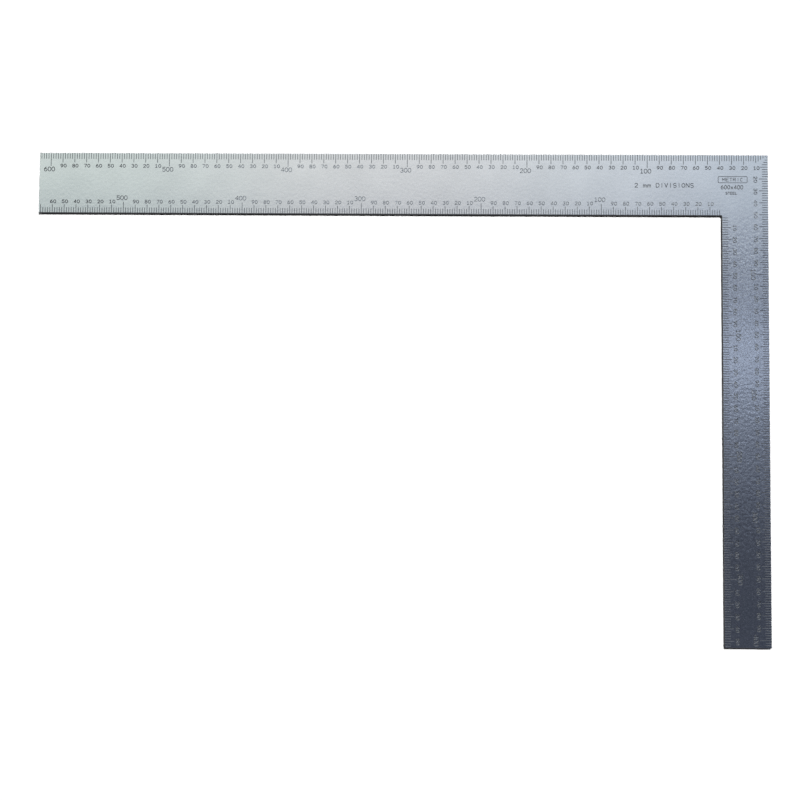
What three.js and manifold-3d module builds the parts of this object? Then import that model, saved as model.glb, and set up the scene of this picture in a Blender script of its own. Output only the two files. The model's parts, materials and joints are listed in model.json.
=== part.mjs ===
// A steel square: one flat L-shaped steel plate, stamped whole, with a wide blade and a narrower tongue
// that meet at a right angle. Every edge carries a millimetre scale, and the ten-millimetre lines of all
// four scales are cut here as real V grooves.
//
// Millimetres, +Z up. The plate lies on its plain back at Z = 0 with its scales upward. The blade runs
// along X at the +Y side, the tongue runs along Y at the +X side, and the origin is under the middle of
// the L's bounding box.

import * as THREE from 'three';
import { mergeVertices } from 'three/addons/utils/BufferGeometryUtils.js';
import Module from 'manifold-3d';

// The plate, whose inch sizes are standard: 24 x 2 inches and 16 x 1 1/2 inches, 3/32 inch thick.
const BLADE_LENGTH = 609.6; // overall, to the tongue's outer edge
const BLADE_WIDTH = 50.8;
const TONGUE_LENGTH = 406.4; // overall, to the blade's outer edge
const TONGUE_WIDTH = 38.1;
const THICKNESS = 2.4;
const EDGE_BREAK = 0.15; // the 45 degree flat that takes the sharpness off each edge
const INNER_CORNER_RADIUS = 0.8;
const INNER_CORNER_STEPS = 6;

// The scales. Each kind of scale has its own lengths of line at every ten and every hundred.
const LINE_PITCH = 10;
const LINES_PER_HUNDRED = 10;
const LINE_WIDTH = 0.45;
const LINE_DEPTH = 0.2;
const BLADE_OUTER_LINE = { ten: 8.1, hundred: 11.3 };
const BLADE_INNER_LINE = { ten: 6.9, hundred: 9.3 };
const TONGUE_LINE = { ten: 7.5, hundred: 9.95 };
const CUTTER_RISE = 0.6; // how far the cutter stands above the plate's top face
const CUTTER_OVERHANG = 1; // how far the cutter reaches out past the plate's edge

const RIGHT = BLADE_LENGTH / 2;
const LEFT = -BLADE_LENGTH / 2;
const BACK = TONGUE_LENGTH / 2;
const FRONT = -TONGUE_LENGTH / 2;
const INNER_X = RIGHT - TONGUE_WIDTH;
const INNER_Y = BACK - BLADE_WIDTH;

const UP = new THREE.Vector3(0, 0, 1);
const wasm = await Module();
wasm.setup();

// The L's outline as seen from above, anticlockwise, with the inner corner as a small arc.
function squareOutline() {
  const outline = new THREE.Shape();
  outline.moveTo(LEFT, INNER_Y);
  outline.lineTo(INNER_X - INNER_CORNER_RADIUS, INNER_Y);
  outline.absarc(
    INNER_X - INNER_CORNER_RADIUS,
    INNER_Y - INNER_CORNER_RADIUS,
    INNER_CORNER_RADIUS,
    Math.PI / 2,
    0,
    true,
  );
  outline.lineTo(INNER_X, FRONT);
  outline.lineTo(RIGHT, FRONT);
  outline.lineTo(RIGHT, BACK);
  outline.lineTo(LEFT, BACK);
  outline.closePath();
  return outline;
}

function plateGeometry() {
  const plate = new THREE.ExtrudeGeometry(squareOutline(), {
    depth: THICKNESS - 2 * EDGE_BREAK,
    bevelEnabled: true,
    bevelThickness: EDGE_BREAK,
    bevelSize: EDGE_BREAK,
    bevelOffset: -EDGE_BREAK,
    bevelSegments: 1,
    curveSegments: INNER_CORNER_STEPS,
  });
  return plate.translate(0, 0, EDGE_BREAK);
}

// A V-shaped bar that cuts one line of a scale: it starts past the plate's edge at `foot` and runs
// `length` into the plate along `inward`.
function lineCutter(foot, inward, length) {
  const halfWidth = (LINE_WIDTH / 2) * ((LINE_DEPTH + CUTTER_RISE) / LINE_DEPTH);
  const section = new THREE.Shape();
  section.moveTo(0, THICKNESS - LINE_DEPTH);
  section.lineTo(halfWidth, THICKNESS + CUTTER_RISE);
  section.lineTo(-halfWidth, THICKNESS + CUTTER_RISE);
  section.closePath();
  const bar = new THREE.ExtrudeGeometry(section, {
    depth: length + CUTTER_OVERHANG,
    bevelEnabled: false,
  });
  bar.translate(0, 0, -CUTTER_OVERHANG);
  const across = new THREE.Vector3().crossVectors(UP, inward);
  bar.applyMatrix4(new THREE.Matrix4().makeBasis(across, UP, inward));
  return bar.translate(foot.x, foot.y, 0);
}

// The cutters of one scale, which starts at `zero`, runs along `along` and has its lines cut inward.
function scaleCutters({ zero, along, inward, span, lines }) {
  const cutters = [];
  for (let step = 1; step * LINE_PITCH < span; step += 1) {
    const foot = zero.clone().addScaledVector(along, step * LINE_PITCH);
    const length = step % LINES_PER_HUNDRED === 0 ? lines.hundred : lines.ten;
    cutters.push(lineCutter(foot, inward, length));
  }
  return cutters;
}

const TO_LEFT = new THREE.Vector3(-1, 0, 0);
const TO_RIGHT = new THREE.Vector3(1, 0, 0);
const TO_FRONT = new THREE.Vector3(0, -1, 0);
const TO_BACK = new THREE.Vector3(0, 1, 0);
const OUTER_CORNER = new THREE.Vector3(RIGHT, BACK, 0);
const INNER_CORNER = new THREE.Vector3(INNER_X, INNER_Y, 0);

const SCALES = [
  {
    zero: OUTER_CORNER,
    along: TO_LEFT,
    inward: TO_FRONT,
    span: BLADE_LENGTH,
    lines: BLADE_OUTER_LINE,
  },
  {
    zero: INNER_CORNER,
    along: TO_LEFT,
    inward: TO_BACK,
    span: BLADE_LENGTH - TONGUE_WIDTH,
    lines: BLADE_INNER_LINE,
  },
  {
    zero: OUTER_CORNER,
    along: TO_FRONT,
    inward: TO_LEFT,
    span: TONGUE_LENGTH,
    lines: TONGUE_LINE,
  },
  {
    zero: INNER_CORNER,
    along: TO_FRONT,
    inward: TO_RIGHT,
    span: TONGUE_LENGTH - BLADE_WIDTH,
    lines: TONGUE_LINE,
  },
];

function toSolid(geometry) {
  const bare = geometry.clone();
  bare.deleteAttribute('normal');
  bare.deleteAttribute('uv');
  const merged = mergeVertices(bare);
  return new wasm.Manifold(
    new wasm.Mesh({
      numProp: 3,
      vertProperties: new Float32Array(merged.attributes.position.array),
      triVerts: new Uint32Array(merged.index.array),
    }),
  );
}

function toGeometry(solid) {
  const mesh = solid.getMesh();
  const geometry = new THREE.BufferGeometry();
  geometry.setAttribute('position', new THREE.BufferAttribute(mesh.vertProperties, mesh.numProp));
  geometry.setIndex(new THREE.BufferAttribute(mesh.triVerts, 1));
  geometry.computeVertexNormals();
  return geometry;
}

function squarePlate() {
  const cutters = SCALES.flatMap(scaleCutters).map(toSolid);
  const engraved = toSolid(plateGeometry()).subtract(wasm.Manifold.union(cutters));
  const steel = new THREE.MeshStandardMaterial({ color: '#b9bfc6', roughness: 0.38, metalness: 1 });
  const plate = new THREE.Mesh(toGeometry(engraved), steel);
  plate.name = 'square_plate';
  return plate;
}

const steelSquare = new THREE.Group();
steelSquare.add(squarePlate());

export default steelSquare;
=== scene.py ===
import json
import math

import bmesh
import bpy
import numpy as np
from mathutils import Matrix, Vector
from mathutils.geometry import delaunay_2d_cdt


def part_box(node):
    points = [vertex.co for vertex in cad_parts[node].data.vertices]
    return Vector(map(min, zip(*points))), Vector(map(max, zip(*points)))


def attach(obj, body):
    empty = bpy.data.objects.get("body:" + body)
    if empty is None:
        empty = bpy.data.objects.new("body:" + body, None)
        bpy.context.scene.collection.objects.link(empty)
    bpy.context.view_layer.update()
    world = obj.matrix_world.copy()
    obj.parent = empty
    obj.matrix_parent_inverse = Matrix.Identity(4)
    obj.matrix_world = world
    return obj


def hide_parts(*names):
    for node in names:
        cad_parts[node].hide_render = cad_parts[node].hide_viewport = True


# A steel square lying on a pale floor: one L-shaped plate whose face is engraved with four
# millimetre scales, their numerals, a legend and a few plain words. The plate and its marks are
# drafted in millimetres, and plate_object() brings the finished mesh into the frame's metres.

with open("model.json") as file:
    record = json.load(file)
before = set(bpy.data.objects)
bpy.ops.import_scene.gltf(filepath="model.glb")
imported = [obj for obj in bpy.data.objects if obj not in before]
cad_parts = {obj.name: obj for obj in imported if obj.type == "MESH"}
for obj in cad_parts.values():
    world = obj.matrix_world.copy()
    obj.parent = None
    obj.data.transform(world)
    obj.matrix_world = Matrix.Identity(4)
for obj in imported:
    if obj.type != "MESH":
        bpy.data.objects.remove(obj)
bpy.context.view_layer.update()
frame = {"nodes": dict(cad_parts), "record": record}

MM = 0.001


# ------------------------------------------------------------------ the plate, in millimetres

def mount_at(name):
    """The place of one of the record's mounts, in millimetres."""
    mounts = {m["name"]: m["pos_m"] for m in frame["record"]["mounts"]}
    return [c / MM for c in mounts[name]]


low, high = [tuple(c / MM for c in corner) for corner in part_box("square_plate")]
LEFT, FRONT, BOTTOM = low
RIGHT, BACK, TOP = high
INNER_X = mount_at("tongue_inner_edge")[0]
INNER_Y = mount_at("blade_inner_edge")[1]

EDGE_RADIUS = 0.3
EDGE_STEPS = 3
CORNER_RADIUS = 0.45
INNER_CORNER_RADIUS = 0.8
CORNER_STEPS = 4

LINE_WIDTH = 0.52
LINE_DEPTH = 0.18
LINE_PITCH = 2
NUMBERED_EVERY = 10
LARGE_EVERY = 100
CORNER_SHARE = 0.64  # how long a line near the outer corner may be, for its distance from there
CLEAR_END = 1.2  # how far the last line stays from a free end

NUMERAL_STROKE = 0.6
NUMERAL_DEPTH = 0.18
PATCH_MARGIN = 0.12
GROOVE_RIM = 0.97  # past this share of its half width, a groove is level with the face

# Meshing: lengths in millimetres, and steps and reaches along an arc in degrees.
SAME_PLACE = 1e-6
WELD_DISTANCE = 0.008
INSIDE_ONLY = 1
CUT_TOLERANCE = 1e-5
CREASE_ANGLE = math.radians(32)
SHARP_TURN = math.radians(50)
ARC_STEP = 22.5
CAP_STEP = 45
CAP_REACH = 89
LEVEL_RISE = 0.9999
UPRIGHT_RISE = 0.01


# ------------------------------------------------------------------ a single-stroke alphabet

def arc(cx, cy, rx, ry, start, end):
    """Points along an ellipse from one angle to another, in degrees."""
    steps = max(2, round(abs(end - start) / ARC_STEP))
    angles = [math.radians(start + (end - start) * i / steps) for i in range(steps + 1)]
    return [(cx + rx * math.cos(a), cy + ry * math.sin(a)) for a in angles]


def ring(cx, cy, rx, ry):
    """A closed ellipse, whose last point is its first."""
    points = arc(cx, cy, rx, ry, 0, 360)
    return points[:-1] + points[:1]


def turned(strokes):
    """The strokes of a glyph upside down, as a six becomes a nine."""
    return [[(1 - x, 1 - y) for x, y in stroke] for stroke in strokes]


SIX = [ring(0.5, 0.3, 0.48, 0.3), arc(0.98, 0.3, 0.96, 0.7, 180, 105)]
GLYPHS = {
    "0": [ring(0.5, 0.5, 0.5, 0.5)],
    "1": [[(0.15, 0.8), (0.5, 1), (0.5, 0)], [(0.15, 0), (0.85, 0)]],
    "2": [arc(0.5, 0.71, 0.46, 0.29, 170, -35) + [(0, 0), (1, 0)]],
    "3": [arc(0.48, 0.75, 0.42, 0.25, 150, -90), arc(0.48, 0.25, 0.48, 0.25, 90, -150)],
    "4": [[(0.78, 0), (0.78, 1), (0, 0.28), (1, 0.28)]],
    "5": [[(0.92, 1), (0.14, 1)] + arc(0.47, 0.33, 0.5, 0.33, 140, -150)],
    "6": SIX,
    "7": [[(0, 1), (1, 1), (0.35, 0)]],
    "8": [ring(0.5, 0.75, 0.4, 0.25), ring(0.5, 0.25, 0.48, 0.25)],
    "9": turned(SIX),
    "C": [arc(0.5, 0.5, 0.5, 0.5, 50, 310)],
    "D": [[(0, 0), (0, 1), (0.45, 1)] + arc(0.45, 0.5, 0.55, 0.5, 90, -90)[1:] + [(0, 0)]],
    "E": [[(1, 1), (0, 1), (0, 0), (1, 0)], [(0, 0.52), (0.8, 0.52)]],
    "I": [[(0.5, 0), (0.5, 1)]],
    "L": [[(0, 1), (0, 0), (1, 0)]],
    "M": [[(0, 0), (0, 1), (0.5, 0.35), (1, 1), (1, 0)]],
    "N": [[(0, 0), (0, 1), (1, 0), (1, 1)]],
    "O": [ring(0.5, 0.5, 0.5, 0.5)],
    "R": [
        [(0, 0), (0, 1), (0.5, 1)] + arc(0.5, 0.74, 0.48, 0.26, 90, -90)[1:] + [(0, 0.48)],
        [(0.5, 0.48), (1, 0)],
    ],
    "S": [arc(0.5, 0.75, 0.47, 0.25, 30, 270), arc(0.5, 0.25, 0.5, 0.25, 90, -150)],
    "T": [[(0, 1), (1, 1)], [(0.5, 1), (0.5, 0)]],
    "V": [[(0, 1), (0.5, 0), (1, 1)]],
    "m": [
        [(0, 0), (0, 0.62)],
        arc(0.25, 0.37, 0.25, 0.25, 180, 0) + [(0.5, 0)],
        arc(0.75, 0.37, 0.25, 0.25, 180, 0) + [(1, 0)],
    ],
    "x": [[(0.1, 0), (0.9, 0.62)], [(0.1, 0.62), (0.9, 0)]],
    " ": [],
}


class Lettering:
    """The size of one kind of text: heights and widths are those of a stroke's middle."""

    def __init__(self, height, width, advance, stroke=NUMERAL_STROKE):
        self.height = height
        self.width = width
        self.advance = advance
        self.stroke = stroke

    def strokes(self, text):
        """The text's strokes, with its middle at (0, 0)."""
        span = self.advance * (len(text) - 1) + self.width
        placed = []
        for i, letter in enumerate(text):
            x0 = i * self.advance - span / 2
            for stroke in GLYPHS[letter]:
                placed.append(
                    [(x0 + x * self.width, (y - 0.5) * self.height) for x, y in stroke]
                )
        return placed

    def half_size(self, text):
        """Half the sides of the patch of plate that the text is cut into."""
        margin = self.stroke / 2 + PATCH_MARGIN
        span = self.advance * (len(text) - 1) + self.width
        return span / 2 + margin, self.height / 2 + margin


SMALL_NUMERALS = Lettering(height=2.65, width=1.95, advance=2.8)
LARGE_NUMERALS = Lettering(height=3.5, width=2.5, advance=3.2)


# ------------------------------------------------------------------ cutting strokes into a patch

def unit(v):
    return v / np.linalg.norm(v)


def left_of(v):
    return np.array([-v[1], v[0]])


def split_at_turns(stroke):
    """The stroke as pieces that have no sharp turn in them."""
    pieces = [[stroke[0]]]
    for i in range(1, len(stroke)):
        pieces[-1].append(stroke[i])
        if i == len(stroke) - 1:
            break
        before = unit(np.subtract(stroke[i], stroke[i - 1]))
        after = unit(np.subtract(stroke[i + 1], stroke[i]))
        if math.acos(max(-1.0, min(1.0, float(before @ after)))) > SHARP_TURN:
            pieces.append([stroke[i]])
    return pieces


def side_normals(points, closed):
    """The mitred left-hand normal at each point of a smooth polyline."""
    ways = [unit(b - a) for a, b in zip(points, points[1:])]
    if closed:
        pairs = [(ways[i - 1], ways[i]) for i in range(len(ways))]
    else:
        pairs = [(ways[0], ways[0]), *zip(ways, ways[1:]), (ways[-1], ways[-1])]
    normals = []
    for before, after in pairs:
        middle = unit(left_of(before) + left_of(after))
        normals.append(middle / float(middle @ left_of(after)))
    return normals


def cap(centre, outward, radius):
    """The round end of a stroke, from its left to its right, at whole steps of CAP_STEP."""
    facing = math.degrees(math.atan2(outward[1], outward[0]))
    first = math.ceil((facing - CAP_REACH) / CAP_STEP)
    last = math.floor((facing + CAP_REACH) / CAP_STEP)
    angles = [math.radians(k * CAP_STEP) for k in range(first, last + 1)]
    return [centre + radius * np.array([math.cos(a), math.sin(a)]) for a in reversed(angles)]


def stroke_outlines(stroke, radius):
    """The closed outlines of a stroke that is twice the radius wide."""
    closed = math.dist(stroke[0], stroke[-1]) < SAME_PLACE
    points = [np.array(p, float) for p in stroke]
    normals = side_normals(points, closed)
    if closed:
        points = points[:-1]
    left = [p + radius * n for p, n in zip(points, normals)]
    right = [p - radius * n for p, n in zip(points, normals)]
    if closed:
        return [left, right]
    end_cap = cap(points[-1], unit(points[-1] - points[-2]), radius)
    start_cap = cap(points[0], unit(points[0] - points[1]), radius)
    return [left + end_cap + right[::-1] + start_cap]


def distances(points, segments):
    """How far each point is from the nearest of the segments."""
    p = np.asarray(points, float)[:, None, :]
    a = np.array([s[0] for s in segments], float)[None]
    b = np.array([s[1] for s in segments], float)[None]
    along = np.clip(((p - a) * (b - a)).sum(2) / ((b - a) ** 2).sum(2), 0, 1)
    return np.linalg.norm(a + along[..., None] * (b - a) - p, axis=2).min(1)


class Draft:
    """Points, edges and faces to be triangulated together."""

    def __init__(self):
        self.points = []
        self.edges = []
        self.faces = []

    def line(self, points, closed=False):
        """Adds points joined by edges, and returns their numbers."""
        first = len(self.points)
        self.points += [Vector((float(x), float(y))) for x, y in points]
        numbers = list(range(first, len(self.points)))
        self.edges += zip(numbers, numbers[1:])
        if closed:
            self.edges.append((numbers[-1], numbers[0]))
        return numbers

    def face(self, points):
        self.faces.append(self.line(points, closed=True))

    def triangulate(self):
        """The points, the triangles, each point's own numbers and each triangle's faces."""
        points, _, triangles, own, _, inside = delaunay_2d_cdt(
            self.points, self.edges, self.faces, INSIDE_ONLY, CUT_TOLERANCE
        )
        return points, triangles, own, inside


def cut_patch(strokes, half_size, radius):
    """A rectangle of plate with the strokes cut into it as V grooves: its points, each an x,
    a y and a depth, and its triangles."""
    wide, tall = half_size
    draft = Draft()
    draft.face([(-wide, -tall), (wide, -tall), (wide, tall), (-wide, tall)])
    middles = []
    for stroke in strokes:
        for piece in split_at_turns(stroke):
            draft.line(piece)
            middles += zip(piece, piece[1:])
            for outline in stroke_outlines(piece, radius):
                draft.line(outline, closed=True)
    points, triangles, _, _ = draft.triangulate()
    away = distances(points, middles)
    depths = NUMERAL_DEPTH * np.clip(1 - away / radius, 0, 1)
    depths[away > radius * GROOVE_RIM] = 0
    return [(p.x, p.y, d) for p, d in zip(points, depths)], triangles


# ------------------------------------------------------------------ the scales

class Scale:
    """One graduated edge. Distances run along `along` from `zero`, the corner it starts at,
    and everything is set in from the edge along `inward`. `at_corner` is for the two scales
    that start at the outer corner, whose lines are shortened there to clear each other."""

    def __init__(self, zero, along, inward, span, style, at_corner, first_label, last_label):
        self.zero = np.array(zero, float)
        self.along = np.array(along, float)
        self.inward = np.array(inward, float)
        self.span = span
        self.style = style
        self.at_corner = at_corner
        self.labels = range(first_label, last_label + 1, NUMBERED_EVERY)

    def line_length(self, at):
        if at % LARGE_EVERY == 0:
            size = "large"
        else:
            size = "ten" if at % NUMBERED_EVERY == 0 else "two"
        length = self.style["lines"][size]
        return min(length, at * CORNER_SHARE) if self.at_corner else length

    def lines(self):
        """(distance along the scale, length) of each of its lines, as far as the free end's
        rounded corner lets them go."""
        count = math.floor((self.span - CLEAR_END) / LINE_PITCH)
        return [(i * LINE_PITCH, self.line_length(i * LINE_PITCH)) for i in range(1, count + 1)]


# The lengths of each scale's lines, and how far in from the edge the middles of its numerals are.
BLADE_OUTER = {
    "lines": {"two": 5.05, "ten": 8.1, "large": 11.3},
    "ten_text": 10.9,
    "large_text": 13.8,
}
BLADE_INNER = {
    "lines": {"two": 4.55, "ten": 6.9, "large": 9.3},
    "ten_text": 9.5,
    "large_text": 12.75,
}
TONGUE = {
    "lines": {"two": 5.0, "ten": 7.5, "large": 9.95},
    "ten_text": 10.4,
    "large_text": 12.8,
}

# How far to the right of its line the middle of a numeral is, as it is read.
SMALL_SHIFT = 0.5
BLADE_LARGE_SHIFT = -1.3

WEST, EAST, SOUTH, NORTH = (-1, 0), (1, 0), (0, -1), (0, 1)
BLADE_TEXT = {"right": EAST, "up": NORTH, "large_shift": BLADE_LARGE_SHIFT}
TONGUE_TEXT = {"right": SOUTH, "up": EAST, "large_shift": 0.0}

OUTER_CORNER = (RIGHT, BACK)
INNER_CORNER = (INNER_X, INNER_Y)
SCALES = {
    "blade_outer": (
        Scale(OUTER_CORNER, WEST, SOUTH, RIGHT - LEFT, BLADE_OUTER, True, 10, 600), BLADE_TEXT
    ),
    "tongue_outer": (
        Scale(OUTER_CORNER, SOUTH, WEST, BACK - FRONT, TONGUE, True, 20, 400), TONGUE_TEXT
    ),
    "blade_inner": (
        Scale(INNER_CORNER, WEST, NORTH, INNER_X - LEFT, BLADE_INNER, False, 10, 560), BLADE_TEXT
    ),
    "tongue_inner": (
        Scale(INNER_CORNER, SOUTH, EAST, INNER_Y - FRONT, TONGUE, False, 10, 350), TONGUE_TEXT
    ),
}


class Label:
    """A text, or any set of strokes, placed on the plate."""

    def __init__(self, centre, right, up, key, strokes, half_size, stroke):
        self.centre = np.array(centre, float)
        self.right = np.array(right, float)
        self.up = np.array(up, float)
        self.key = key
        self.strokes = strokes
        self.half_size = half_size
        self.stroke = stroke

    def place(self, x, y):
        return self.centre + x * self.right + y * self.up

    def corners(self):
        wide, tall = self.half_size
        signs = [(-1, -1), (1, -1), (1, 1), (-1, 1)]
        return [self.place(a * wide, b * tall) for a, b in signs]


def text_label(text, lettering, centre, right, up):
    return Label(
        centre,
        right,
        up,
        (text, lettering.height),
        lettering.strokes(text),
        lettering.half_size(text),
        lettering.stroke,
    )


def scale_labels(scale, text):
    labels = []
    right = np.array(text["right"], float)
    for at in scale.labels:
        foot = scale.zero + at * scale.along
        if at % LARGE_EVERY == 0:
            centre = foot + scale.style["large_text"] * scale.inward + text["large_shift"] * right
            labels.append(text_label(str(at), LARGE_NUMERALS, centre, right, text["up"]))
        else:
            centre = foot + scale.style["ten_text"] * scale.inward + SMALL_SHIFT * right
            digits = str(at % LARGE_EVERY)
            labels.append(text_label(digits, SMALL_NUMERALS, centre, right, text["up"]))
    return labels


LEGEND = Lettering(height=3.4, width=2.5, advance=3.55)
UNIT_TEXT = Lettering(height=2.6, width=2.1, advance=2.95)
SIZE_TEXT = Lettering(height=3.2, width=1.9, advance=2.7)
METAL_TEXT = Lettering(height=2.0, width=1.35, advance=1.95, stroke=0.5)
LEGEND_PLACE = (RIGHT - 86.0, BACK - 25.65)
UNIT_PLACE = (RIGHT - 29.2, BACK - 20.65)
SIZE_PLACE = (RIGHT - 29.8, BACK - 27.05)
METAL_PLACE = (RIGHT - 30.4, BACK - 32.1)
FRAME_HALF_WIDE = 12.0
FRAME_HALF_TALL = 2.6
FRAME_RADIUS = 0.8
FRAME_STROKE = 0.45


def rounded_frame(half_wide, half_tall, radius):
    """A closed rectangle with rounded corners, about (0, 0)."""
    x, y = half_wide - radius, half_tall - radius
    points = arc(x, y, radius, radius, 0, 90) + arc(-x, y, radius, radius, 90, 180)
    points += arc(-x, -y, radius, radius, 180, 270) + arc(x, -y, radius, radius, 270, 360)
    return points + points[:1]


def heel_labels():
    """The legend on the blade, and a plain block of generic text on the heel."""
    metric = UNIT_TEXT.strokes("METRIC")
    boxed = Label(
        UNIT_PLACE,
        EAST,
        NORTH,
        "frame",
        metric + [rounded_frame(FRAME_HALF_WIDE, FRAME_HALF_TALL, FRAME_RADIUS)],
        (FRAME_HALF_WIDE + FRAME_STROKE, FRAME_HALF_TALL + FRAME_STROKE),
        FRAME_STROKE,
    )
    return [
        text_label("2 mm DIVISIONS", LEGEND, LEGEND_PLACE, EAST, NORTH),
        boxed,
        text_label("600x400", SIZE_TEXT, SIZE_PLACE, EAST, NORTH),
        text_label("STEEL", METAL_TEXT, METAL_PLACE, EAST, NORTH),
    ]


# ------------------------------------------------------------------ the plate's rim

class Rim:
    """The boundary of the plate's flat top face, anticlockwise: each point has its outward
    direction, the depth of the groove that leaves there, and whether the rim below keeps it."""

    def __init__(self):
        self.points = []

    def add(self, x, y, outward, depth=0.0, keep=True):
        self.points.append((x, y, outward[0], outward[1], depth, keep))

    def corner(self, x, y, wall_radius, start, end, convex):
        """A rounded corner about (x, y). The flat face's own radius differs from the wall's
        by the rounding of the edge."""
        radius = wall_radius - EDGE_RADIUS if convex else wall_radius + EDGE_RADIUS
        side = 1 if convex else -1
        for i in range(CORNER_STEPS + 1):
            a = math.radians(start + (end - start) * i / CORNER_STEPS)
            way = (math.cos(a), math.sin(a))
            self.add(x + radius * way[0], y + radius * way[1], (side * way[0], side * way[1]))

    def side(self, outward, scale, backwards):
        """The lines of one straight edge, in the rim's order."""
        lines = scale.lines()
        for at, _ in reversed(lines) if backwards else lines:
            foot = scale.zero + at * scale.along
            foot = foot - EDGE_RADIUS * np.array(outward, float)
            half = LINE_WIDTH / 2 * scale.along * (-1 if backwards else 1)
            keep = at % NUMBERED_EVERY == 0
            self.add(*(foot - half), outward, 0.0, keep)
            self.add(*foot, outward, LINE_DEPTH, False)
            self.add(*(foot + half), outward, 0.0, False)


def plate_rim():
    rim = Rim()
    scales = {name: scale for name, (scale, _) in SCALES.items()}
    outer, inner = CORNER_RADIUS, INNER_CORNER_RADIUS
    rim.corner(LEFT + outer, INNER_Y + outer, outer, 180, 270, True)
    rim.side(SOUTH, scales["blade_inner"], True)
    rim.corner(INNER_X - inner, INNER_Y - inner, inner, 90, 0, False)
    rim.side(WEST, scales["tongue_inner"], False)
    rim.corner(INNER_X + outer, FRONT + outer, outer, 180, 270, True)
    rim.corner(RIGHT - outer, FRONT + outer, outer, 270, 360, True)
    rim.side(EAST, scales["tongue_outer"], True)
    rim.corner(RIGHT - outer, BACK - outer, outer, 0, 90, True)
    rim.side(NORTH, scales["blade_outer"], False)
    rim.corner(LEFT + outer, BACK - outer, outer, 90, 180, True)
    return rim.points


# ------------------------------------------------------------------ the whole plate as one mesh

class Builder:
    """Collects vertices in millimetres, with their groove depths, and faces."""

    def __init__(self):
        self.vertices = []
        self.depths = []
        self.faces = []

    def vertex(self, x, y, z, depth=0.0):
        self.vertices.append((x, y, z))
        self.depths.append(depth)
        return len(self.vertices) - 1


def add_top_face(builder, rim, labels):
    """The flat face with the scales' lines cut in, and a hole where each label's patch goes."""
    draft = Draft()
    draft.face([(x, y) for x, y, *_ in rim])
    depths = [depth for *_, depth, _ in rim]
    for scale, _ in SCALES.values():
        for at, length in scale.lines():
            foot = scale.zero + at * scale.along + EDGE_RADIUS * scale.inward
            half = LINE_WIDTH / 2 * scale.along
            end = scale.zero + at * scale.along + length * scale.inward
            ridge_end = end - LINE_WIDTH / 2 * scale.inward
            draft.line([foot - half, end - half, end + half, foot + half])
            draft.line([foot, ridge_end])
            depths += [0, 0, 0, 0, LINE_DEPTH, LINE_DEPTH]
    for label in labels:
        draft.face(label.corners())
        depths += [0, 0, 0, 0]
    points, triangles, own, inside = draft.triangulate()
    numbers = []
    for p, origins in zip(points, own):
        depth = max((depths[i] for i in origins), default=0)
        numbers.append(builder.vertex(p.x, p.y, TOP - depth, depth / LINE_DEPTH))
    for triangle, faces in zip(triangles, inside):
        if faces == [0]:
            builder.faces.append([numbers[i] for i in triangle])


def add_labels(builder, labels):
    patches = {}
    for label in labels:
        if label.key not in patches:
            patches[label.key] = cut_patch(label.strokes, label.half_size, label.stroke / 2)
        points, triangles = patches[label.key]
        numbers = []
        for x, y, depth in points:
            px, py = label.place(x, y)
            numbers.append(builder.vertex(px, py, TOP - depth, depth / NUMERAL_DEPTH))
        builder.faces += [[numbers[i] for i in triangle] for triangle in triangles]


def edge_profile():
    """(how far out from the flat face's rim, how far down) along the rounded edge."""
    turns = [math.pi / 2 * i / EDGE_STEPS for i in range(EDGE_STEPS + 1)]
    return [(EDGE_RADIUS * math.sin(a), EDGE_RADIUS * (1 - math.cos(a))) for a in turns]


def add_rounded_edge(builder, rim):
    """The rounding at the top of the rim, with each groove running out through it. Returns
    the numbers of its lowest points."""
    rings = []
    for out, drop in edge_profile():
        rings.append([
            builder.vertex(x + nx * out, y + ny * out, TOP - max(drop, depth), depth / LINE_DEPTH)
            for x, y, nx, ny, depth, _ in rim
        ])
    for upper, lower in zip(rings, rings[1:]):
        for i in range(len(rim)):
            j = (i + 1) % len(rim)
            builder.faces.append([upper[i], lower[i], lower[j], upper[j]])
    return rings[-1]


def add_wall_and_back(builder, rim, wall_top):
    """The side wall, the lower rounded edge and the plain back. The wall's foot has fewer
    points than its top, so each stretch of wall is a fan."""
    kept = [i for i, point in enumerate(rim) if point[5]]
    rings = []
    for out, drop in reversed(edge_profile()):
        rings.append([
            builder.vertex(rim[i][0] + rim[i][2] * out, rim[i][1] + rim[i][3] * out, BOTTOM + drop)
            for i in kept
        ])
    foot = rings[0]
    for k, i in enumerate(kept):
        following = kept[(k + 1) % len(kept)]
        stretch = (following - i) % len(rim)
        for step in range(stretch):
            a, b = (i + step) % len(rim), (i + step + 1) % len(rim)
            builder.faces.append([foot[k], wall_top[b], wall_top[a]])
        builder.faces.append([foot[k], foot[(k + 1) % len(kept)], wall_top[following]])
    for upper, lower in zip(rings, rings[1:]):
        for i in range(len(kept)):
            j = (i + 1) % len(kept)
            builder.faces.append([upper[i], lower[i], lower[j], upper[j]])
    draft = Draft()
    draft.face([(rim[i][0], rim[i][1]) for i in kept])
    _, triangles, own, _ = draft.triangulate()
    numbers = [rings[-1][origins[0]] for origins in own]
    builder.faces += [[numbers[i] for i in triangle] for triangle in triangles]


def face_kind(face):
    """Whether a face is level, upright or neither."""
    rise = abs(face.normal.z)
    if rise > LEVEL_RISE:
        return "level"
    return "upright" if rise < UPRIGHT_RISE else "slanted"


def is_crease(edge):
    """Sharp turns are creases, and so is each border of a flat face or a straight wall, which
    would otherwise be shaded as if they were bent."""
    first, second = [face_kind(face) for face in edge.link_faces]
    return first != second or edge.calc_face_angle() > CREASE_ANGLE


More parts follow.
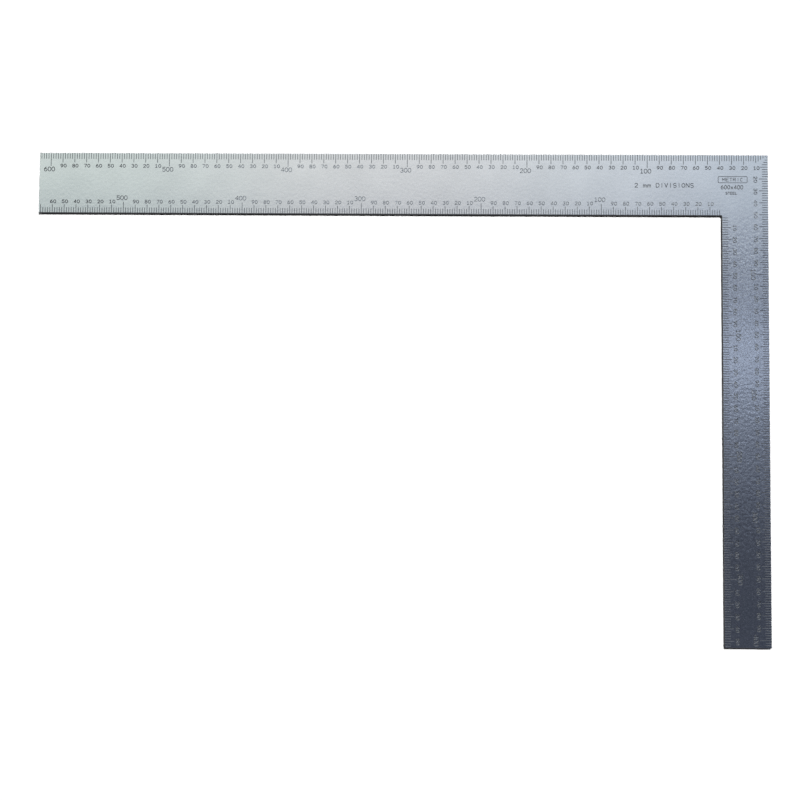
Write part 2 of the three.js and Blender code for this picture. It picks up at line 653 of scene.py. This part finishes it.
def plate_object(name, material):
    """The engraved plate as a Blender object, in metres."""
    rim = plate_rim()
    labels = [label for scale, text in SCALES.values() for label in scale_labels(scale, text)]
    labels += heel_labels()
    builder = Builder()
    add_top_face(builder, rim, labels)
    add_labels(builder, labels)
    wall_top = add_rounded_edge(builder, rim)
    add_wall_and_back(builder, rim, wall_top)

    mesh = bpy.data.meshes.new(name)
    mesh.from_pydata([Vector(v) * MM for v in builder.vertices], [], builder.faces)
    marks = mesh.attributes.new("mark", "FLOAT", "POINT")
    marks.data.foreach_set("value", builder.depths)
    shape = bmesh.new()
    shape.from_mesh(mesh)
    bmesh.ops.remove_doubles(shape, verts=shape.verts, dist=WELD_DISTANCE * MM)
    bmesh.ops.recalc_face_normals(shape, faces=shape.faces)
    for edge in shape.edges:
        edge.smooth = not is_crease(edge)
    open_edges = sum(not edge.is_manifold for edge in shape.edges)
    print("plate:", len(shape.verts), "vertices,", len(shape.faces), "faces,", open_edges, "open")
    shape.to_mesh(mesh)
    shape.free()
    mesh.shade_smooth()
    mesh.materials.append(material)
    plate = bpy.data.objects.new(name, mesh)
    bpy.context.scene.collection.objects.link(plate)
    return plate


# ------------------------------------------------------------------ materials

class Nodes:
    """A small helper that adds nodes to a material or world and links them."""

    def __init__(self, tree):
        self.tree = tree
        tree.nodes.clear()

    def add(self, kind, inputs=None, **settings):
        node = self.tree.nodes.new(kind)
        for name, value in settings.items():
            setattr(node, name, value)
        for name, value in (inputs or {}).items():
            self.set(node, name, value)
        return node

    def set(self, node, name, value):
        if isinstance(value, bpy.types.NodeSocket):
            self.tree.links.new(value, node.inputs[name])
        else:
            node.inputs[name].default_value = value

    def math(self, operation, *values):
        return self.add("ShaderNodeMath", dict(enumerate(values)), operation=operation).outputs[0]

    def plus(self, first, second):
        return self.math("ADD", first, second)

    def times(self, first, second):
        return self.math("MULTIPLY", first, second)

    def weighted(self, layers):
        """The sum of each layer's value times its weight."""
        parts = [self.times(value, weight) for value, weight in layers]
        total = parts[0]
        for part in parts[1:]:
            total = self.plus(total, part)
        return total

    def ramp(self, factor, stops, interpolation="LINEAR"):
        node = self.add("ShaderNodeValToRGB", {"Fac": factor})
        ramp = node.color_ramp
        ramp.interpolation = interpolation
        while len(ramp.elements) > 1:
            ramp.elements.remove(ramp.elements[-1])
        ramp.elements[0].position = stops[0][0]
        ramp.elements[0].color = (*stops[0][1], 1)
        for position, colour in stops[1:]:
            ramp.elements.new(position).color = (*colour, 1)
        return node.outputs["Color"]

    def range(self, value, from_low, from_high, to_low, to_high, smooth=False):
        node = self.add(
            "ShaderNodeMapRange",
            {
                "Value": value,
                "From Min": from_low,
                "From Max": from_high,
                "To Min": to_low,
                "To Max": to_high,
            },
            interpolation_type="SMOOTHSTEP" if smooth else "LINEAR",
        )
        return node.outputs["Result"]

    def fade(self, place, start, end, first, last):
        """Goes smoothly from first to last, as the place goes from start to end, which are in
        millimetres."""
        return self.range(place, start * MM, end * MM, first, last, smooth=True)

    def noise(self, vector, scale, detail=2.0, roughness=0.5):
        node = self.add(
            "ShaderNodeTexNoise",
            {"Vector": vector, "Scale": scale, "Detail": detail, "Roughness": roughness},
        )
        return node.outputs["Fac"]

    def stretched(self, vector, along_x, along_y, along_z):
        node = self.add(
            "ShaderNodeVectorMath",
            {0: vector, 1: (along_x, along_y, along_z)},
            operation="MULTIPLY",
        )
        return node.outputs["Vector"]

    def scaled(self, colour, factor):
        node = self.add("ShaderNodeVectorMath", {0: colour, "Scale": factor}, operation="SCALE")
        return node.outputs["Vector"]

    def mix(self, factor, first, second):
        node = self.add("ShaderNodeMix", {0: factor}, data_type="RGBA")
        self.set(node, 6, first)
        self.set(node, 7, second)
        return node.outputs[2]


def edge_distance(nodes, x, y):
    """How far a point of the face is from the L's outline, in metres."""

    def inside(x0, y0, x1, y1):
        across = nodes.math(
            "MINIMUM",
            nodes.math("SUBTRACT", x, x0 * MM),
            nodes.math("SUBTRACT", x1 * MM, x),
        )
        along = nodes.math(
            "MINIMUM",
            nodes.math("SUBTRACT", y, y0 * MM),
            nodes.math("SUBTRACT", y1 * MM, y),
        )
        return nodes.math("MINIMUM", across, along)

    blade = inside(LEFT, INNER_Y, RIGHT, BACK)
    tongue = inside(INNER_X, FRONT, RIGHT, BACK)
    return nodes.math("MAXIMUM", blade, tongue)


# The steel's patterns: how many cells each has in a metre, and how far some are drawn out.
MOTTLE_PER_METRE = 380
CLOUDS_PER_METRE = 38
PITS_PER_METRE = 2600
GRAIN_PER_METRE = 5200
SPECKS_PER_METRE = 800
STREAKS_PER_METRE = 3000
SCRATCHES_PER_METRE = 900
GRAIN_STRETCH = 0.06
STREAK_STRETCH = 0.08
SCRATCH_STRETCH = 0.02
SCRATCH_ANGLE = math.radians(24)
NOISE_SPAN = (0.3, 0.7)  # nearly all of a pattern's values lie between these
SCRATCH_PEAKS = (0.74, 0.78)  # and only its rare peaks, past these, are scratches
GRAIN_BORDER = (INNER_Y + 30, INNER_Y - 30)  # where the blade's grain gives way to the tongue's
BROKEN_BY = 0.03  # how far, in metres, clouds push that border

# Colours, and how strongly each effect shows.
BARE_COLOURS = [(0.3, (0.585, 0.60, 0.625)), (0.7, (0.665, 0.68, 0.705))]
# The side walls' colours: their darkness is painted shade, and their streaks are machining marks.
SHADED_SIDE_COLOURS = [(0.3, (0.11, 0.11, 0.115)), (0.7, (0.21, 0.21, 0.215))]
WORN_EDGE_COLOUR = (0.74, 0.75, 0.76, 1)
# The colour of the painted shade in the grooves of the marks.
MARK_SHADE_COLOUR = (0.055, 0.052, 0.058, 1)
EDGE_WEAR = 0.1
EDGE_WEAR_FROM = 0.3
EDGE_WEAR_TO = 1.2
DAPPLE = 0.16
BLADE_DAPPLE = 0.15
ROUGHNESS = (0.17, 0.23)
SIDE_ROUGHNESS = 0.15
GRAIN_ROUGHNESS = 0.02
MARK_ROUGHNESS = 0.2
LEVEL_TO_STEEP = (0.97, 0.6)  # how upward a face's normal is where the side wall's look sets in

# The relief, in shares of BUMP_HEIGHT, which is in millimetres.
BUMP_HEIGHT = 0.13
BLADE_RELIEF = 0.3
GRAIN_RELIEF = 0.08
PIT_RELIEF = 0.04
STREAK_RELIEF = 0.3
SCRATCH_RELIEF = 0.06

# The painted shade that darkens a mark: how much there is where it is strongest and where it is
# faintest.
MARK_FULL_AT = 0.32  # the share of a groove's depth from which it counts as a mark
FULL_MARK_SHADE = 0.97
FAINT_MARK_SHADE = 0.3

# How much the painted shade in the marks is lessened, from 0 for not at all to 1 for most.
HEEL_SHADE_LOSS = 0.35
INNER_SCALE_SHADE_LOSS = 0.9
TONGUE_SHADE_LOSS = 0.5
TONGUE_END_SHADE_LOSS = 0.34
LINES_SHARE = 0.5

# Where that changes, along X or Y or in from the edge.
OFF_FREE_END = (LEFT, LEFT + 200)
ONTO_HEEL = (60, 200)
OFF_INNER_SCALE = (INNER_Y + 15, INNER_Y + 20)
ONTO_BLADE = (INNER_Y - 25, INNER_Y + 5)
DOWN_TONGUE = (60, -60)
NEAR_TONGUE_END = (-40, -120)
LINES_END = 7.8
NUMERALS_START = 9.0


def arm_grain(nodes, place, on_tongue):
    """A fine grain along the blade that gives way to one along the tongue."""
    blade_place = nodes.stretched(place, GRAIN_STRETCH, 1, 1)
    tongue_place = nodes.stretched(place, 1, GRAIN_STRETCH, 1)
    blade_grain = nodes.noise(blade_place, GRAIN_PER_METRE)
    tongue_grain = nodes.noise(tongue_place, GRAIN_PER_METRE)
    grain = nodes.add("ShaderNodeMix", {0: on_tongue, 2: blade_grain, 3: tongue_grain})
    return grain.outputs[0]


def handling_scratches(nodes, place):
    """A few thin scratches that all lean the same way."""
    leaning = nodes.add(
        "ShaderNodeVectorRotate",
        {"Vector": place, "Angle": SCRATCH_ANGLE},
        rotation_type="Z_AXIS",
    ).outputs[0]
    drawn_out = nodes.stretched(leaning, SCRATCH_STRETCH, 1, 1)
    pattern = nodes.noise(drawn_out, SCRATCHES_PER_METRE, detail=1)
    return nodes.range(pattern, *SCRATCH_PEAKS, 0, 1)


def side_wall(nodes, normal, mark):
    """One on the plate's side walls and rounded edges, and zero on the faces and in the marks."""
    upward = nodes.add("ShaderNodeSeparateXYZ", {0: normal}).outputs["Z"]
    tilted = nodes.range(nodes.math("ABSOLUTE", upward), *LEVEL_TO_STEEP, 0, 1, smooth=True)
    return nodes.times(tilted, nodes.math("SUBTRACT", 1.0, mark))


def bare_colour(nodes, place, mottle, cloud, on_tongue):
    """The colour of the plain faces: softly clouded, with a speckle that is strong on the
    tongue and faint on the blade."""
    tone = nodes.weighted([(mottle, 0.5), (cloud, 0.5)])
    speck = nodes.noise(place, SPECKS_PER_METRE, detail=1)
    dapple = nodes.times(
        nodes.range(speck, *NOISE_SPAN, -DAPPLE, DAPPLE),
        nodes.range(on_tongue, 0, 1, BLADE_DAPPLE, 1),
    )
    return nodes.scaled(nodes.ramp(tone, BARE_COLOURS), nodes.plus(dapple, 1.0))


def mark_dirt(nodes, x, y, edge):
    """How dark the painted shade in a mark is. It is strongest at the blade's free end, and faint
    along the blade and on the heel's inner scale. On the rest of the heel and on the tongue it is
    partly lessened. The lines next to the edge lose less of it than the numerals, but for those
    near the tongue's free end."""
    heel_shade_loss = nodes.fade(y, *OFF_INNER_SCALE, INNER_SCALE_SHADE_LOSS, HEEL_SHADE_LOSS)
    blade_shade_loss = nodes.times(
        nodes.fade(x, *OFF_FREE_END, 0, 1),
        nodes.fade(x, *ONTO_HEEL, 1, heel_shade_loss),
    )
    tongue_shade_loss = nodes.fade(y, *DOWN_TONGUE, TONGUE_SHADE_LOSS, TONGUE_END_SHADE_LOSS)
    on_blade = nodes.fade(y, *ONTO_BLADE, 0, 1)
    off_blade = nodes.math("SUBTRACT", 1.0, on_blade)
    shade_loss = nodes.weighted([(blade_shade_loss, on_blade), (tongue_shade_loss, off_blade)])
    lines_share = nodes.fade(y, *NEAR_TONGUE_END, LINES_SHARE, 1)
    share = nodes.range(edge, LINES_END * MM, NUMERALS_START * MM, lines_share, 1)
    return nodes.range(nodes.times(shade_loss, share), 0, 1, FULL_MARK_SHADE, FAINT_MARK_SHADE)


def steel_material():
    """Bare satin steel: a soft mottle, a fine grain along each arm, a speckle on the tongue, a
    few handling scratches, slightly brighter edges, side walls painted dark as shade, and
    marks painted dark as shade in their grooves, more in some places than in others."""
    material = bpy.data.materials.new("satin_steel")
    material.use_nodes = True
    nodes = Nodes(material.node_tree)
    coordinates = nodes.add("ShaderNodeTexCoord")
    place = coordinates.outputs["Object"]
    apart = nodes.add("ShaderNodeSeparateXYZ", {0: place})
    x, y = apart.outputs["X"], apart.outputs["Y"]
    edge = edge_distance(nodes, x, y)
    groove = nodes.add("ShaderNodeAttribute", attribute_name="mark").outputs["Fac"]
    mark = nodes.range(groove, 0.0, MARK_FULL_AT, 0, 1, smooth=True)
    side = side_wall(nodes, coordinates.outputs["Normal"], mark)

    mottle = nodes.noise(place, MOTTLE_PER_METRE, roughness=0.45)
    cloud = nodes.noise(place, CLOUDS_PER_METRE)
    pits = nodes.noise(place, PITS_PER_METRE, detail=1)
    streaks = nodes.noise(nodes.stretched(place, 1, 1, STREAK_STRETCH), STREAKS_PER_METRE)
    scratches = handling_scratches(nodes, place)
    broken_y = nodes.plus(y, nodes.times(cloud, BROKEN_BY))
    on_tongue = nodes.fade(broken_y, *GRAIN_BORDER, 0, 1)
    grain = arm_grain(nodes, place, on_tongue)

    wear = nodes.times(
        nodes.fade(edge, EDGE_WEAR_FROM, EDGE_WEAR_TO, 1, 0),
        nodes.range(mottle, 0.35, 0.6, 0.3, 1.0),
    )
    colour = bare_colour(nodes, place, mottle, cloud, on_tongue)
    colour = nodes.mix(nodes.times(wear, EDGE_WEAR), colour, WORN_EDGE_COLOUR)
    # The side walls are painted dark, as shade, with streaks of machining marks.
    colour = nodes.mix(side, colour, nodes.ramp(streaks, SHADED_SIDE_COLOURS))
    # The grooves of the marks are painted dark as shade, more in some places than in others.
    mark_shading = nodes.times(mark, mark_dirt(nodes, x, y, edge))
    colour = nodes.mix(mark_shading, colour, MARK_SHADE_COLOUR)

    rough = nodes.range(mottle, *NOISE_SPAN, *ROUGHNESS)
    rough = nodes.plus(rough, nodes.times(side, SIDE_ROUGHNESS))
    by_grain = nodes.range(grain, *NOISE_SPAN, -GRAIN_ROUGHNESS, GRAIN_ROUGHNESS)
    rough = nodes.plus(rough, by_grain)
    rough = nodes.plus(rough, nodes.times(mark, MARK_ROUGHNESS))

    height = nodes.weighted([
        (mottle, nodes.range(on_tongue, 0, 1, BLADE_RELIEF, 1)),
        (grain, GRAIN_RELIEF),
        (pits, PIT_RELIEF),
        (streaks, nodes.times(side, STREAK_RELIEF)),
        (scratches, -SCRATCH_RELIEF),
    ])
    bump = nodes.add(
        "ShaderNodeBump", {"Strength": 1.0, "Distance": BUMP_HEIGHT * MM, "Height": height}
    )

    shader = nodes.add(
        "ShaderNodeBsdfPrincipled",
        {"Base Color": colour, "Metallic": 1.0, "Roughness": rough, "Normal": bump.outputs[0]},
    )
    nodes.add("ShaderNodeOutputMaterial", {"Surface": shader.outputs[0]})
    return material


FLOOR_PATCHES_PER_METRE = 60


def floor_material():
    """A pale matt floor with a barely visible unevenness."""
    material = bpy.data.materials.new("pale_floor")
    material.use_nodes = True
    nodes = Nodes(material.node_tree)
    place = nodes.add("ShaderNodeTexCoord").outputs["Object"]
    unevenness = nodes.noise(place, FLOOR_PATCHES_PER_METRE)
    colour = nodes.ramp(unevenness, [(0.3, (0.84, 0.84, 0.845)), (0.7, (0.86, 0.86, 0.86))])
    shader = nodes.add("ShaderNodeBsdfDiffuse", {"Color": colour, "Roughness": 0.0})
    nodes.add("ShaderNodeOutputMaterial", {"Surface": shader.outputs[0]})
    return material


# ------------------------------------------------------------------ the object

steel = steel_material()
for node in frame["nodes"].values():
    node.data.materials.clear()
    node.data.materials.append(steel)

square = plate_object("engraved_square", steel)
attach(square, "root")
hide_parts("square_plate")


# ------------------------------------------------------------------ floor, light and camera

# All in metres. The floor lies a hair below the plate, so that the two don't share a plane.
FLOOR_SIZE = 60.0
FLOOR_GAP = 0.00002


def flat_square(name, size, height, material):
    """A level square about the Z axis, as part of the studio and not of the object."""
    mesh = bpy.data.meshes.new(name)
    half = size / 2
    corners = [(-half, -half, 0), (half, -half, 0), (half, half, 0), (-half, half, 0)]
    mesh.from_pydata(corners, [], [(0, 1, 2, 3)])
    mesh.materials.append(material)
    sheet = bpy.data.objects.new(name, mesh)
    sheet.location = (0, 0, height)
    bpy.context.scene.collection.objects.link(sheet)
    return sheet


# The floor stays out of reflections, so that the plate's thin side walls look dark against it.
floor = flat_square("floor", FLOOR_SIZE, BOTTOM * MM - FLOOR_GAP, floor_material())
floor.visible_glossy = False

# The key light falls from the back and a little from the right, so that the plate's own
# thickness draws a thin, crisp shadow along the edges that face front and left. The shift is
# how far that shadow reaches, in millimetres.
SHADOW_SHIFT = (-0.7, -1.4)
KEY_STRENGTH = 4.6
KEY_SOFTNESS = math.radians(3)


def add_key_light():
    light = bpy.data.lights.new("key", "SUN")
    light.energy = KEY_STRENGTH
    light.angle = KEY_SOFTNESS
    lamp = bpy.data.objects.new("key", light)
    travel = Vector((SHADOW_SHIFT[0], SHADOW_SHIFT[1], BOTTOM - TOP))
    lamp.rotation_mode = "QUATERNION"
    lamp.rotation_quaternion = travel.to_track_quat("-Z", "Y")
    lamp.visible_glossy = False
    bpy.context.scene.collection.objects.link(lamp)


PANEL_HEIGHT = 1.0
PANEL_SIZE = 4.0
PANEL_STRENGTH = 1.23


def cool(level, blue=1.16):
    """A bluish grey."""
    return (0.96 * level, level, blue * level)


def add_panel():
    """The soft panel overhead that the steel reflects: bright over the blade, falling away
    over the tongue past one brighter band, a little green at the left and blue at the right."""
    material = bpy.data.materials.new("soft_panel")
    material.use_nodes = True
    nodes = Nodes(material.node_tree)
    place = nodes.add("ShaderNodeTexCoord").outputs["Object"]
    apart = nodes.add("ShaderNodeSeparateXYZ", {0: place})
    half = PANEL_SIZE / 2
    across = nodes.range(apart.outputs["X"], -half, half, 0, 1)
    along = nodes.range(apart.outputs["Y"], -half, half, 0, 1)
    tint = nodes.ramp(across, [
        (0.35, (0.826, 0.902, 0.838)),
        (0.40, (0.838, 0.902, 0.851)),
        (0.45, (0.923, 0.928, 0.898)),
        (0.52, (0.906, 0.910, 0.894)),
        (0.57, (0.830, 0.877, 0.894)),
        (0.60, (0.834, 0.877, 0.919)),
        (0.635, (0.65, 0.725, 0.80)),
    ])
    level = nodes.ramp(along, [
        (0.435, cool(0.084, 1.25)),
        (0.460, cool(0.074, 1.25)),
        (0.478, cool(0.12, 1.25)),
        (0.490, cool(0.245, 1.2)),
        (0.516, cool(0.215)),
        (0.532, cool(1.15)),
        (0.548, cool(0.235)),
        (0.564, cool(0.245)),
        (0.582, cool(0.56)),
        (0.594, (0.83, 0.83, 0.83)),
        (0.612, (1.0, 1.0, 1.0)),
    ], "EASE")
    product = nodes.add("ShaderNodeVectorMath", {0: tint, 1: level}, operation="MULTIPLY")
    colour = product.outputs["Vector"]
    glow = nodes.add("ShaderNodeEmission", {"Color": colour, "Strength": PANEL_STRENGTH})
    nodes.add("ShaderNodeOutputMaterial", {"Surface": glow.outputs[0]})
    panel = flat_square("soft_panel", PANEL_SIZE, PANEL_HEIGHT, material)
    panel.visible_camera = False
    panel.visible_diffuse = False
    panel.visible_shadow = False


BACK_GLOW = (1.22, 1.29, 1.46, 1)
CORNER_GLOW = (0.80, 0.82, 0.86, 1)
FLOOR_FILL = (0.02, 0.02, 0.02, 1)
BACKDROP = (1.05, 1.05, 1.05, 1)


def add_world():
    """White to the camera and faint on the floor. What the steel reflects past the panel is dim
    near the horizon, but for a glow at the back that the marks on the tongue catch, and one
    at each front corner that lights the plate when it is seen from low behind."""
    world = bpy.data.worlds.new("studio")
    bpy.context.scene.world = world
    world.use_nodes = True
    nodes = Nodes(world.node_tree)
    path = nodes.add("ShaderNodeLightPath")
    direction = nodes.add("ShaderNodeTexCoord").outputs["Generated"]
    apart = nodes.add("ShaderNodeSeparateXYZ", {0: direction})
    dim = nodes.ramp(apart.outputs["Z"], [
        (0.0, (0.20, 0.205, 0.215)),
        (0.07, (0.13, 0.135, 0.145)),
        (0.14, (0.14, 0.145, 0.155)),
        (0.26, (0.38, 0.39, 0.41)),
        (0.6, (0.6, 0.61, 0.63)),
    ])
    at_back = nodes.times(
        nodes.range(apart.outputs["Y"], 0.55, 0.8, 0, 1, smooth=True),
        nodes.range(apart.outputs["Z"], 0.14, 0.30, 0, 1, smooth=True),
    )
    reflected = nodes.mix(at_back, dim, BACK_GLOW)
    sideways = nodes.math("ABSOLUTE", apart.outputs["X"])
    frontward = nodes.times(apart.outputs["Y"], -1.0)
    at_front_corners = nodes.times(
        nodes.range(nodes.times(sideways, frontward), 0.26, 0.42, 0, 1, smooth=True),
        nodes.range(apart.outputs["Z"], 0.05, 0.18, 0, 1, smooth=True),
    )
    reflected = nodes.mix(at_front_corners, reflected, CORNER_GLOW)
    colour = nodes.mix(path.outputs["Is Glossy Ray"], FLOOR_FILL, reflected)
    colour = nodes.mix(path.outputs["Is Camera Ray"], colour, BACKDROP)
    background = nodes.add("ShaderNodeBackground", {"Color": colour, "Strength": 1.0})
    nodes.add("ShaderNodeOutputWorld", {"Surface": background.outputs[0]})


# The camera looks down from almost straight above. Its place is in metres, its turn in degrees
# and its lens in millimetres.
CAMERA_PLACE = (0.02146, -0.05983, 0.99522)
CAMERA_TURN = (3.2773, 1.1803, 0.5157)
CAMERA_LENS = 54.07
SENSOR_WIDTH = 36.0


def add_camera():
    data = bpy.data.cameras.new("camera")
    data.lens = CAMERA_LENS
    data.sensor_width = SENSOR_WIDTH
    camera = bpy.data.objects.new("camera", data)
    camera.location = CAMERA_PLACE
    camera.rotation_euler = [math.radians(angle) for angle in CAMERA_TURN]
    bpy.context.scene.collection.objects.link(camera)
    bpy.context.scene.camera = camera


add_key_light()
add_panel()
add_world()
add_camera()
bpy.context.scene.view_settings.view_transform = "Standard"
